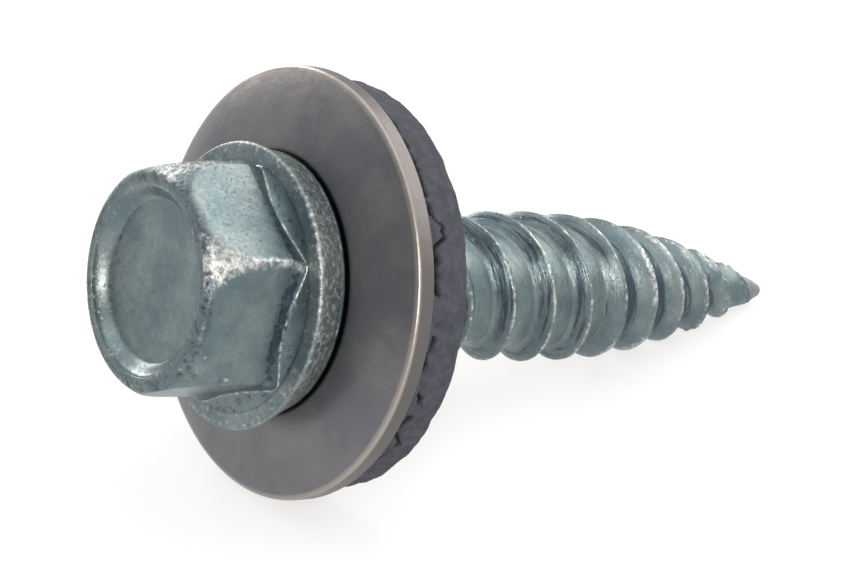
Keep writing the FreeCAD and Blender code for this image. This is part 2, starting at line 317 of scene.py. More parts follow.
def ringedMesh(name, spots, finish, wear, closeFirst=False, loop=False):   # spots: rings, points, x y z
    rows, columns, _ = spots.shape
    points = [tuple(p) for p in spots.reshape(-1, 3)]
    faces = []
    for row in range(rows if loop else rows - 1):
        here, there = row * columns, ((row + 1) % rows) * columns
        for column in range(columns):
            after = (column + 1) % columns
            faces.append((here + column, here + after, there + after, there + column))
    if closeFirst:
        points.append(tuple(spots[0].mean(axis=0)))
        faces += [(len(points) - 1, (c + 1) % columns, c) for c in range(columns)]
    mesh = bpy.data.meshes.new(name)
    mesh.from_pydata(points, [], faces)
    mesh.materials.append(finish)
    marks = np.zeros((len(points), 3))
    marks[:rows * columns] = wear.reshape(-1, 3)
    keepMark(mesh, "wear", marks)
    return mesh


def placePiece(name, mesh, body, slot, *replaced):
    keepMark(mesh, "ownSpot", readSpots(mesh))
    mesh.transform(screwToFrame)
    spots = np.clip(readSpots(mesh), *cadBox)   # roughness stops at the floor
    mesh.vertices.foreach_set("co", spots.ravel())
    mesh.polygons.foreach_set("use_smooth", [True] * len(mesh.polygons))
    mesh.update()
    piece = bpy.data.objects.new(name, mesh)
    bpy.context.scene.collection.objects.link(piece)
    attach(piece, body)
    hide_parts(*replaced)


def softMin(one, other, width):
    share = np.clip(0.5 + 0.5 * (other - one) / width, 0, 1)
    return other * (1 - share) + one * share - width * share * (1 - share)


def softMax(one, other, width):
    return -softMin(-one, -other, width)


def bell(value, width):
    return np.exp(-((value / width) ** 2))


def facing(angles, way, power=1):   # 1 on the side that lies at way degrees, 0 on the far half
    return np.clip(np.cos(np.radians(angles - way)), 0, 1) ** power


def arcRun(middleX, middleZ, radius, fromAngle, toAngle, count):
    angles = np.radians(np.linspace(fromAngle, toAngle, count))
    return [(middleX + radius * math.cos(a), middleZ + radius * math.sin(a)) for a in angles]


# Head: recess, crown, flats and flange in one skin of rings about the axis

headSizes = {   # mm and degrees
    "height": 5.2,
    "flats": 8.0,            # across the flats at their foot
    "draft": 1.2,            # lean of the flats
    "corner": 0.4,           # rounding of the six corners
    "turn": 3.4,             # turn of the hexagon about the axis
    "lip": 3.7,              # radius of the head's highest ring
    "crownRise": 0.8,        # how far out the crown runs, and how far down
    "crownDrop": 1.7,
    "crownPower": 0.45,
    "crownSlope": 0.5,       # below that
    "crownBlend": 0.05,
    "recessFloor": 2.84,     # radius of the recess's floor, and of its mouth
    "recessMouth": 3.44,
    "recessDepth": 0.5,
    "floorDish": 0.14,
    "flatsEnd": 3.1,         # depths under the top where the flats end and the foot begins and ends
    "footStart": 3.13,
    "footEnd": 3.76,
    "footBlend": 0.10,
    "footStep": 4.03,        # the foot's radius under the hexagon, and at the knee
    "knee": 4.78,
    "kneeRise": 0.36,
    "kneeSlope": 4,          # above the knee
    "flangeTop": 1.42,       # bearing face to the flange's front edge
    "flangeFront": 5.25,     # the flange's radius in front, and at the bearing face
    "flangeBack": 4.79,
    "flangeSag": 0.03,
    "rimRound": 0.13,
    "backRound": 0.1,
    "offCentre": 0.14,       # how far the flange stands off the axis, and which way
    "offWay": -18.8,
    "offFrom": -2.05,        # the level where it starts to, and the lengths it takes at either end
    "offOver": 0.55,
    "offBack": 1.2,
    "shank": 5.3,
    "shankRound": 0.12,
    "join": 0.4,             # the level where the thread's skin takes over
}
headSteps = {   # points about each corner, and rings of each part
    "corner": 44, "floor": 14, "recess": 16, "lip": 4, "crown": 34, "flats": 18, "foot": 34, "flange": 12,
    "wall": 16,
}
headWear = {   # how strong each mark is; ways are degrees about the axis
    "corners": (0.5, 0.6, 0.6, 0.7, 1.0, 0.18),   # each corner is rubbed bright in its own strength, with painted glints
    "cornerWidth": 3.0,      # degrees
    "cornerEdge": 0.7,
    "seam": 0.25,            # crown to flats, and its width in mm
    "seamWidth": 0.05,
    "footLine": 0.7,         # flats to foot, a bright line that is also a painted glint
    "footLineWidth": 0.045,
    "shadedWay": 100,        # painted shadow of the recess wall, on the floor's side facing this way
    "shadedShare": 0.6,
    "mouthRubbed": 0.3,      # at the recess's mouth, brighter as wear and painted highlight
    "ringRubbed": 0.2,       # the flat ring around the recess
    "ringDarkening": 0.3,
    "ringHammered": 0.5,
    "crownFade": 0.12,       # how softly the marks of crown and foot begin, in mm
    "footFade": 0.1,
    "footShadeWay": 273,         # dark blue band above the foot: stain and painted shade in the crease, darkest on the side facing this way
    "stainLeast": 0.45,
    "stainLevel": -1.97,
    "stainWidth": 0.3,
    "footStainAndShade": 0.45,
    "lipDarkening": 0.62,        # darker just outside the crown's highest ring
    "lipDepth": 0.10,
    "lipWidth": 0.20,
    "topRubbed": 0.25,       # the flange's top, brighter toward its edge as wear and painted highlight
    "topEdge": 0.3,
    "topDarkening": 0.2,
    "topHammered": 0.35,
    "rimWay": 240,           # the flange's front edge, rubbed bright and a painted highlight, most on the side facing this way
    "rimLeast": 0.25,
    "rimMore": 0.5,
    "rimHammered": 0.8,
    "wallRubbed": 0.66,      # the flange's wall, rubbed bright with some painted highlight, less bright toward the bearing face
    "wallFade": 0.2,
    "wallStain": 0.1,
    "wallHammered": 0.9,
}


def headAngles(turn, steps):   # points crowd toward the six corners
    half = steps // 2
    share = np.arange(-half, half) / half
    fromCorner = 30 * np.sign(share) * np.abs(share) ** 1.7
    angles = np.concatenate([fromCorner + turn + 60 * k for k in range(6)])
    return angles, np.tile(fromCorner, 6)


def hexRadius(corner, fromCorner, flat):
    beta = np.radians(np.abs(fromCorner))
    middle = (flat - corner) / math.cos(math.radians(30))
    limit = math.atan2(corner * 0.5, middle + corner * math.cos(math.radians(30)))
    straight = flat / np.cos(math.radians(30) - beta)
    rounded = middle * np.cos(beta) + np.sqrt(np.maximum(corner**2 - (middle * np.sin(beta)) ** 2, 0))
    return np.where(beta < limit, rounded, straight)


def makeHead(sizes, steps, look):
    angles, fromCorner = headAngles(sizes["turn"], steps["corner"])
    count = len(angles)
    top = -sizes["height"]
    rows, wear = [], []

    def addRing(radius, level, rubbedAndGlint=0.0, stainAndShade=0.0, hammered=0.0):
        rows.append((np.broadcast_to(radius, count), np.broadcast_to(level, count)))
        wear.append(tuple(np.broadcast_to(part, count) for part in (rubbedAndGlint, stainAndShade, hammered)))

    # recess and the flat ring around it
    floorLevel, floorRadius, mouth = top + sizes["recessDepth"], sizes["recessFloor"], sizes["recessMouth"]
    # painted shadow: the floor drawn dark near the wall on one side
    shadedSide = facing(angles, look["shadedWay"])
    for share in np.linspace(0.06, 1, steps["floor"]):
        level = floorLevel + sizes["floorDish"] * (1 - share**2)
        addRing(floorRadius * share, level, 0, look["shadedShare"] * share**4 * shadedSide)
    for share in np.linspace(0.05, 0.97, steps["recess"]):
        climb = share * share * (3 - 2 * share)
        radius = floorRadius + (mouth - floorRadius) * share
        addRing(radius, floorLevel - sizes["recessDepth"] * climb, climb * look["mouthRubbed"])
    for share in np.linspace(0, 1, steps["lip"]):
        radius = mouth + (sizes["lip"] - 0.04 - mouth) * share
        rubbedAndGlint, stainAndShade = look["ringRubbed"] * (1 - share), look["ringDarkening"] * (1 + share)
        addRing(radius, top, rubbedAndGlint, stainAndShade, look["ringHammered"])

    # crown, flats and foot: the crown's cone cuts the hexagon, the foot grows out of it
    cornerWearAndGlint = np.repeat(look["corners"], count // 6)
    stainAndShadeShare = look["stainLeast"] + (1 - look["stainLeast"]) * facing(angles, look["footShadeWay"], 2)
    corner = np.abs(fromCorner) / 30
    crownDepths = sizes["crownDrop"] * np.linspace(0.03, 1, steps["crown"]) ** 2.2
    flatDepths = np.linspace(sizes["crownDrop"] + 0.07, sizes["flatsEnd"], steps["flats"])
    footDepths = np.linspace(sizes["footStart"], sizes["footEnd"], steps["foot"])
    for depth in np.concatenate([crownDepths, flatDepths, footDepths]):
        level = top + depth
        rise = -level - sizes["flangeTop"]
        flat = sizes["flats"] / 2 - math.tan(math.radians(sizes["draft"])) * rise
        hexagon = hexRadius(sizes["corner"], fromCorner, flat)
        crown = sizes["lip"] + sizes["crownRise"] * (depth / sizes["crownDrop"]) ** sizes["crownPower"]
        crown += max(depth - sizes["crownDrop"], 0) * sizes["crownSlope"]
        radius = softMin(hexagon, np.full(count, crown), sizes["crownBlend"] * min(1, depth * 4 + 0.03))
        slope = sizes["knee"] - (sizes["knee"] - sizes["footStep"]) * math.sqrt(rise / sizes["kneeRise"])
        foot = slope - max(rise - sizes["kneeRise"], 0) * sizes["kneeSlope"]
        blended = softMax(radius, np.full(count, foot), sizes["footBlend"])

        onCrown = np.clip((hexagon - crown) / look["crownFade"] + 0.3, 0, 1)
        onFoot = np.clip((foot - radius) / look["footFade"], 0, 1)
        cornerEdge = bell(fromCorner, look["cornerWidth"]) * (1 - onCrown) * cornerWearAndGlint
        seam = bell(hexagon - crown, look["seamWidth"])
        footLine = bell(foot - radius, look["footLineWidth"])
        patch = onCrown * (1 - corner) ** 1.5 * cornerWearAndGlint
        rubbedAndGlint = patch + cornerEdge * look["cornerEdge"] * (1 - onFoot)
        rubbedAndGlint = np.clip(rubbedAndGlint + seam * look["seam"] + footLine * look["footLine"], 0, 1)
        # stain and painted shade: the band above the foot, and the foot itself
        nearFoot = stainAndShadeShare * bell(level - look["stainLevel"], look["stainWidth"])
        nearFoot = nearFoot * (1 - onFoot) * (1 - 0.6 * cornerEdge)
        outerLip = bell(depth - look["lipDepth"], look["lipWidth"])
        stainAndShade = np.clip(nearFoot + onFoot * look["footStainAndShade"] + outerLip * look["lipDarkening"], 0, 1)
        addRing(blended, level, rubbedAndGlint, stainAndShade, np.maximum(onCrown * (1 - corner) ** 0.5, outerLip))

    # flange: top, front edge, tapering wall, bearing face and the rounding into the shank
    front, back = sizes["flangeFront"], sizes["flangeBack"]
    edge, thick = sizes["rimRound"], sizes["flangeTop"]
    inner = rows[-1][0]
    rimWearAndGlint = look["rimLeast"] + look["rimMore"] * facing(angles, look["rimWay"], 8)
    for share in np.linspace(0.12, 1, steps["flange"]):
        radius = inner + (front - edge - inner) * share
        level = -thick - sizes["flangeSag"] * (1 - share) ** 2
        rubbedAndGlint = look["topRubbed"] + share**8 * look["topEdge"]
        addRing(radius, level, rubbedAndGlint, look["topDarkening"] * (1 - share), look["topHammered"])
    for radius, level in arcRun(front - edge, -thick + edge, edge, -75, -5, 6):
        addRing(radius, level, rimWearAndGlint, 0, look["rimHammered"])
    for share in np.linspace(0.06, 0.92, steps["wall"]):
        level = -thick + edge + (thick - edge) * share
        rubbedAndGlint = look["wallRubbed"] - look["wallFade"] * share
        addRing(front + (back - front) * share, level, rubbedAndGlint, look["wallStain"], look["wallHammered"])
    backRound, shankRound, shank = sizes["backRound"], sizes["shankRound"], sizes["shank"] / 2
    # bearing face and its rounding drawn fully dark: painted shade in the gap over the washer
    for radius, level in arcRun(back - 0.02, -backRound, backRound, 25, 90, 4):
        addRing(radius, level, 0, 1.0, 0.3)
    for radius in np.linspace(back - 0.3, shank + 0.15, 5):
        addRing(radius, 0.0, 0, 1.0)
    for radius, level in arcRun(shank + shankRound, shankRound, -shankRound, 90, 0, 5):
        addRing(radius, level)
    addRing(shank, sizes["join"])

    radii = np.array([row[0] for row in rows])
    levels = np.array([row[1] for row in rows])
    turn = np.radians(angles)[None, :]
    away = np.minimum((levels - sizes["offFrom"]) / sizes["offOver"], -levels / sizes["offBack"])
    away = np.clip(away, 0, 1)
    away = away * (levels > sizes["offFrom"]) * sizes["offCentre"]
    offWay = math.radians(sizes["offWay"])
    x = radii * np.cos(turn) + away * math.cos(offWay)
    y = radii * np.sin(turn) + away * math.sin(offWay)
    spots = np.stack([x, y, levels], axis=2)
    return ringedMesh("head", spots, zinc, np.moveaxis(np.array(wear), 1, 2), closeFirst=True)


# Thread: one sheet that winds about the axis, its radius worked out by Geometry Nodes

threadSizes = {   # the tree's inputs, in mm along the axis from the bearing face
    "Start": 0.4,
    "Length": 28.4,
    "Spacing": 2.106,          # ridge to ridge; two ridges wind side by side
    "Shank Radius": 2.65,
    "Thread Radius": 3.1,
    "Ridge Height": 0.62,
    "Crest Half Width": 0.045,
    "Flank Width": 0.47,
    "Shank End": 5.34,
    "Run In": 7.5,             # length over which the radius grows
    "Cut In": 3.6,             # length over which the ridges rise
    "Run Out": 6.0,            # length over which they die away
    "Point Length": 13.5,
    "Point Bulge": 1.75,
    "End Radius": 0.22,
    "Turn": math.radians(161.2),   # a ridge stands at this angle at the level of Mark
    "Mark": 10.96,
    "Crowding": 0.4,           # draws the points toward the crests; 1 spreads them evenly
    "Fillet": 0.13,
    "Late Start": 12.0,        # from here on the rolled steel is rougher
    "Late Length": 7.0,
    "Late Fillet": 0.25,
    "Lean Start": 14.6,        # from here on the ridges bulge toward the head
    "Lean Length": 2.6,
    "Lean": 0.95,              # how much wider the flanks get there
    "Tip Lean": -1.1,          # added to it on the point's side
    "Waver": 0.035,
    "Fold Depth": 0.09,        # folds run along the crests
    "Fold Width": 0.06,
    "Fold Drift": 0.2,
    "Lap Depth": 0.02,         # fine laps on the flanks
    "Burr Height": 0.5,        # burrs near the point
    "Burr Start": 21.0,
    "Burr Length": 3.0,
    "Turns": 8,
    "Steps A Turn": 84,
    "Steps Across": 72,
    "Seed": 3,
}
threadNoise = {   # scale, and what is added to the seed
    "waver": (1.4, 0.0), "fold": (1.1, 7.0), "foldDrift": (0.8, 11.0), "lapPhase": (0.5, 5.0),
    "lap": (0.9, 2.0), "burr": (5.0, 13.0), "crest": (1.3, 9.0), "bulge": (0.9, 21.0),
}
threadLook = {   # rows: from, to, and the values there; a ridge is 0 in the root and 1 on the crest
    "foldPatches": (0.40, 0.55),
    "lapPatches": (0.45, 0.6),
    "lapSpacing": 0.2,         # mm
    "lapSwing": 6.0,
    "burrRidge": (0.5, 0.95),
    "burrToEnd": (0.3, 1.5),   # mm
    # crest lines and bulges are rubbed bright, also painted highlights
    "crestRidge": (0.84, 1.0),
    "crestPatches": (0.35, 0.6, 0.2, 0.8),
    "bulgeRidge": (0.5, 0.85),
    "bulgePatches": (0.44, 0.58, 0.0, 0.62),
    # painted shade: roots near the point and the folds drawn dark; flanks drawn darker
    "rootRidge": (0.42, 0.02, 0.0, 0.95),
    "flankDarkening": 2.8,
    "leanDarkening": -2.4,         # less of it on the flanks that bulge
    "foldShade": 9.0,
    "lateHammered": 0.2,
    "windLength": 10.0,        # windSpot: how long a turn is for the streaks, and how wide
    "windRadius": 6.0,
}
weldDistance = 0.0008   # mm


def threadTree(sizes, look, finish):
    tree = bpy.data.node_groups.new("windingThread", "GeometryNodeTree")
    for name, value in sizes.items():
        kind = "NodeSocketInt" if isinstance(value, int) else "NodeSocketFloat"
        tree.interface.new_socket(name=name, in_out="INPUT", socket_type=kind).default_value = value
    tree.interface.new_socket(name="Geometry", in_out="OUTPUT", socket_type="NodeSocketGeometry")
    given = addNode(tree, "NodeGroupInput").outputs

    def add(one, other):
        return calc(tree, "ADD", one, other)

    def take(one, other):
        return calc(tree, "SUBTRACT", one, other)

    def over(one, other):
        return calc(tree, "DIVIDE", one, other)

    def times(product, *factors):
        for factor in factors:
            product = calc(tree, "MULTIPLY", product, factor)
        return product

    def least(one, other):
        return calc(tree, "MINIMUM", one, other)

    def most(one, other):
        return calc(tree, "MAXIMUM", one, other)

    def ease(value, *limits):
        return remap(tree, value, *limits)

    def vector(x, y, z):
        return addNode(tree, "ShaderNodeCombineXYZ", {0: x, 1: y, 2: z}).outputs[0]

    # the sheet: along it way counts the turns, across it lie two ridges
    stepsAlong = add(times(given["Turns"], given["Steps A Turn"]), 1.0)
    sheet = addNode(tree, "GeometryNodeMeshGrid", {
        "Size X": given["Turns"], "Size Y": 1.0,
        "Vertices X": stepsAlong, "Vertices Y": add(given["Steps Across"], 1.0)})
    place = split(tree, addNode(tree, "GeometryNodeInputPosition").outputs[0])
    way = add(place[0], over(given["Turns"], 2.0))
    doubled = times(add(place[1], 0.5), 2.0)
    ridgeNumber = calc(tree, "FLOOR", add(doubled, 1e-5))
    inRidge = take(take(doubled, ridgeNumber), 0.5)
    crowd = add(given["Crowding"], times(take(1.0, given["Crowding"]), times(inRidge, inRidge, 4.0)))
    drawn = times(inRidge, crowd)
    offset = times(drawn, given["Spacing"])

    # where each point lies along and about the axis
    lead = times(given["Spacing"], 2.0)
    firstLevel = take(given["Start"], lead)
    middle = times(add(ridgeNumber, add(drawn, 0.5)), given["Spacing"])
    level = add(add(firstLevel, times(lead, way)), middle)
    level = least(most(level, given["Start"]), given["Length"])
    fromMark = take(add(firstLevel, over(given["Spacing"], 2.0)), given["Mark"])
    angle = add(given["Turn"], times(over(fromMark, given["Spacing"]), math.pi))
    angle = add(angle, times(way, 2 * math.pi))
    cosine, sine = calc(tree, "COSINE", angle), calc(tree, "SINE", angle)

    # the crest's radius, and how deep the root is cut
    intoThread = take(level, given["Shank End"])
    toEnd = take(given["Length"], level)
    grown = ease(over(intoThread, given["Run In"]), 0.0, 1.0)
    crest = add(given["Shank Radius"], times(take(given["Thread Radius"], given["Shank Radius"]), grown))
    tapered = add(over(take(level, given["Length"]), given["Point Length"]), 1.0)
    tapered = least(most(tapered, 0.0), 1.0)
    full = take(1.0, calc(tree, "POWER", tapered, given["Point Bulge"]))
    overEnd = times(take(crest, given["End Radius"]), full)
    crest = add(given["End Radius"], overEnd)
    shown = times(ease(over(intoThread, given["Cut In"]), 0.0, 1.0),
                  ease(over(toEnd, given["Run Out"]), 0.0, 1.0))
    depth = times(given["Ridge Height"], least(overEnd, 1.0), shown)

    helixSpot = vector(cosine, sine, times(level, 0.9))

    def wander(name):
        scale, shift = threadNoise[name]
        inputs = {"Vector": helixSpot, "W": add(given["Seed"], shift), "Scale": scale, "Detail": 3.0}
        return addNode(tree, "ShaderNodeTexNoise", inputs, noise_dimensions="4D").outputs[0]

    # the ridge's profile; near the point it leans and bulges toward the head
    waver = take(wander("waver"), 0.5)
    moved = add(offset, times(waver, given["Waver"], 3.0))
    late = ease(take(level, given["Late Start"]), 0.0, given["Late Length"])
    leaning = ease(take(level, given["Lean Start"]), 0.0, given["Lean Length"])
    tipSide = calc(tree, "GREATER_THAN", moved, 0.0)
    headSide = times(leaning, take(1.0, tipSide))
    lean = times(leaning, calc(tree, "MULTIPLY_ADD", tipSide, given["Tip Lean"], given["Lean"]))
    flank = times(given["Flank Width"], add(lean, 1.0))
    down = over(take(calc(tree, "ABSOLUTE", moved), given["Crest Half Width"]), flank)
    down = calc(tree, "SMOOTH_MAX", down, 0.0, 0.1)
    fillet = add(given["Fillet"], times(late, given["Late Fillet"]))
    ridge = take(1.0, calc(tree, "SMOOTH_MIN", down, 1.0, fillet))
    ridge = add(ridge, times(times(ridge, take(1.0, ridge)), headSide))
    onFlank = times(ridge, take(1.0, ridge))

    # folds, laps and burrs
    foldMiddle = times(take(wander("foldDrift"), 0.5), given["Fold Drift"])
    narrow = over(take(moved, foldMiddle), given["Fold Width"])
    fold = calc(tree, "POWER", 2.718, times(times(narrow, narrow), -1.0))
    folded = times(ease(wander("fold"), *look["foldPatches"]), late)
    fold = times(fold, folded, given["Fold Depth"])
    lapPhase = times(wander("lapPhase"), look["lapSwing"])
    laps = calc(tree, "SINE", add(times(moved, 2 * math.pi / look["lapSpacing"]), lapPhase))
    lapped = times(ease(wander("lap"), *look["lapPatches"]), times(late, given["Lap Depth"]))
    laps = times(times(laps, times(onFlank, 4.0)), lapped)
    radius = take(crest, times(take(1.0, ridge), depth))
    radius = take(radius, times(add(fold, laps), shown))
    radius = add(radius, times(waver, given["Waver"], shown))
    burrs = times(take(wander("burr"), 0.5),
                  ease(take(level, given["Burr Start"]), 0.0, given["Burr Length"]))
    burrs = times(burrs, ease(ridge, *look["burrRidge"]), given["Burr Height"])
    radius = add(radius, times(burrs, ease(toEnd, *look["burrToEnd"])))
    tipLeft = least(over(toEnd, given["End Radius"]), 1.0)
    blunt = calc(tree, "SQRT", take(1.0, calc(tree, "POWER", take(1.0, tipLeft), 2.0)))
    radius = times(radius, blunt)

    # marks for the finish: crests and bulges rubbed bright, also painted highlights; roots near the point
    # and folds drawn dark as painted shade, flanks darker
    crestLine = times(ease(ridge, *look["crestRidge"]), ease(wander("crest"), *look["crestPatches"]))
    bulges = times(ease(ridge, *look["bulgeRidge"]), ease(wander("bulge"), *look["bulgePatches"]))
    rubbedAndGlint = times(most(crestLine, times(bulges, late)), shown)
    rootShade = times(ease(ridge, *look["rootRidge"]), leaning)
    stainAndShadeShare = times(onFlank, calc(tree, "MULTIPLY_ADD", headSide, look["leanDarkening"], look["flankDarkening"]))
    stainAndShadeShare = least(add(add(stainAndShadeShare, rootShade), times(fold, look["foldShade"])), 1.0)
    wear = vector(rubbedAndGlint, times(stainAndShadeShare, shown), times(late, look["lateHammered"]))
    share = over(middle, lead)
    turned = times(share, 2 * math.pi)
    wind = vector(times(add(way, share), look["windLength"]),
                  times(calc(tree, "COSINE", turned), look["windRadius"]),
                  times(calc(tree, "SINE", turned), look["windRadius"]))

    made = sheet.outputs["Mesh"]
    for name, value in (("wear", wear), ("windSpot", wind)):
        inputs = {"Geometry": made, "Name": name, "Value": value}
        made = addNode(tree, "GeometryNodeStoreNamedAttribute", inputs, data_type="FLOAT_VECTOR",
                       domain="POINT").outputs[0]
    wound = vector(times(radius, cosine), times(radius, sine), level)
    made = addNode(tree, "GeometryNodeSetPosition", {"Geometry": made, "Position": wound}).outputs[0]
    weld = {"Geometry": made, "Distance": weldDistance}
    made = addNode(tree, "GeometryNodeMergeByDistance", weld).outputs[0]
    made = addNode(tree, "GeometryNodeRealizeInstances", {"Geometry": made}).outputs[0]
    made = addNode(tree, "GeometryNodeSetMaterial", {"Geometry": made, "Material": finish}).outputs[0]
    addNode(tree, "NodeGroupOutput", {"Geometry": made})
    return tree


def growMesh(name, tree, sizes):
    carrier = bpy.data.objects.new(name, bpy.data.meshes.new(name + "Seed"))
    bpy.context.scene.collection.objects.link(carrier)
    modifier = carrier.modifiers.new("grow", "NODES")
    modifier.node_group = tree
    for item in tree.interface.items_tree:
        if item.item_type == "SOCKET" and item.in_out == "INPUT":
            modifier[item.identifier] = sizes[item.name]
    bpy.context.view_layer.update()
    graph = bpy.context.evaluated_depsgraph_get()
    mesh = bpy.data.meshes.new_from_object(carrier.evaluated_get(graph))
    carrier.modifiers.remove(modifier)
    bpy.data.objects.remove(carrier)
    return mesh


def joinMeshes(name, meshes):
    holders = [bpy.data.objects.new(name + str(n), mesh) for n, mesh in enumerate(meshes)]
    for holder in holders:
        bpy.context.scene.collection.objects.link(holder)
    with bpy.context.temp_override(active_object=holders[0], selected_editable_objects=holders):
        bpy.ops.object.join()
    mesh = holders[0].data
    bpy.data.objects.remove(holders[0])
    return mesh


headMesh = makeHead(headSizes, headSteps, headWear)
headMesh.attributes.new("windSpot", "FLOAT_VECTOR", "POINT")   # zero on the head
print("head skin:", len(headMesh.polygons), "faces")
threadMesh = growMesh("thread", threadTree(threadSizes, threadLook, zinc), threadSizes)
print("thread skin:", len(threadMesh.polygons), "faces")
screwMesh = joinMeshes("screwSkin", [headMesh, threadMesh])
placePiece("zincScrew", screwMesh, "screw", "zinc_plated_steel", "screw")


# Washer: the dished steel with its rubber ring behind it

washerSizes = {   # mm
    "width": 16.08,
    "bore": 5.5,
    "boreRound": 0.08,
    "thick": 0.6,
    "dish": 0.55,          # how far the rim drops behind the flat middle
    "flat": 10.4,          # diameter of the flat middle
    "edge": 0.16,          # rounding of the front edge
    "backEdge": 0.06,
    "gap": 0.12,           # from the flange's bearing face
    "shadedUnderFlange": 4.98,       # painted shade: the face is drawn near black within this radius, under the flange
    "shadedUnderFlangeFade": 0.1,
    "steps": 360,
    "frontRings": 80,
    "backRings": 24,
}
sealSizes = {   # mm
    "width": 15.2,
    "swell": 0.06,         # the pressed rubber stands this much further out
    "bore": 5.46,
    "depth": 1.9,
    "edge": 0.14,
    "proud": 0.01,         # how far the rough outer wall stands out, and how rough it is
    "lumps": 0.05,
    "lumpsAlong": 0.3,     # share of the lumps that also moves it along the axis
    "lumpScale": 1.1,
    "lumpNoise": (0.9, 2.1, 5),   # roughness, step between scales, and how many scales
    "steps": 640,
    "seed": 5,
}
sealTear = {   # the ragged line where the rubber's skin is torn; turns are noise waves about the axis
    "level": 0.58,         # mm behind the steel
    "depth": 0.5,          # mm
    "swing": 1.3,
    "swingTurns": 5,
    "jitter": 0.2,
    "jitterTurns": 30,
    "narrowest": 0.045,    # mm
    "wider": 0.10,
    "widthShift": 0.15,
    "widthTurns": 23,
    "share": 0.9,          # how much of the line is torn open
    "shareSwing": 3.5,
    "shareTurns": 14,
    # how dark the painted shade in the torn groove is drawn
    "darkness": 2.2,
}
dishReach = (washerSizes["width"] - washerSizes["flat"]) / 2
dishRadius = (dishReach**2 + washerSizes["dish"] ** 2) / 2 / washerSizes["dish"]
dishMiddle = washerSizes["gap"] + dishRadius
backRadius = dishRadius - washerSizes["thick"]


def dishLevel(radius, arcRadius):   # the dished face at this radius: front or back, by its arc
    out = np.maximum(radius - washerSizes["flat"] / 2, 0)
    return dishMiddle - np.sqrt(arcRadius**2 - out**2)


def dishRun(fromRadius, toRadius, count, arcRadius, lift=0.0):
    return [(r, float(dishLevel(r, arcRadius)) + lift) for r in np.linspace(fromRadius, toRadius, count)]


def spinOut(radii, levels, steps):
    angles = np.radians(np.arange(steps) * 360 / steps)
    return np.stack([radii * np.cos(angles), radii * np.sin(angles), levels], axis=2)


def makeSteelWasher(sizes):
    rim, bore, edge, backEdge = sizes["width"] / 2, sizes["bore"] / 2, sizes["edge"], sizes["backEdge"]
    front = dishRun(bore + sizes["boreRound"], rim - edge, sizes["frontRings"], dishRadius)
    frontLevel = front[-1][1]
    rimBack = float(dishLevel(rim, backRadius))
    profile = [(bore, sizes["gap"] + sizes["boreRound"])] + front
    profile += arcRun(rim - edge, frontLevel + edge, edge, -70, 0, 8)
    profile += [(rim, level) for level in np.linspace(frontLevel + edge + 0.05, rimBack - backEdge * 2, 5)]
    profile += [(rim, rimBack - backEdge), (rim - 0.02, rimBack - 0.02), (rim - backEdge, rimBack)]
    profile += dishRun(rim - 0.25, bore, sizes["backRings"], backRadius)
    radii, levels = np.repeat(np.array(profile).T[:, :, None], sizes["steps"], axis=2)
    wear = np.zeros((*radii.shape, 3))
    # the rounded front edge, worn bright and a painted highlight
    onEdge = 1 - np.abs(levels - frontLevel - edge * 0.3) / (edge * 0.7)
    wear[..., 0] = np.maximum(onEdge, 0) * (radii > rim - edge * 1.1)
    wear[..., 1] = radii > rim - edge * 0.5
    # painted shade in the crevice under the flange
    shadedUnderFlange = np.clip((sizes["shadedUnderFlange"] - radii) / sizes["shadedUnderFlangeFade"], 0, 1)
    wear[:len(front) + 1, :, 2] = shadedUnderFlange[:len(front) + 1]
    return ringedMesh("steelWasher", spinOut(radii, levels, sizes["steps"]), satinSteel, wear, loop=True)


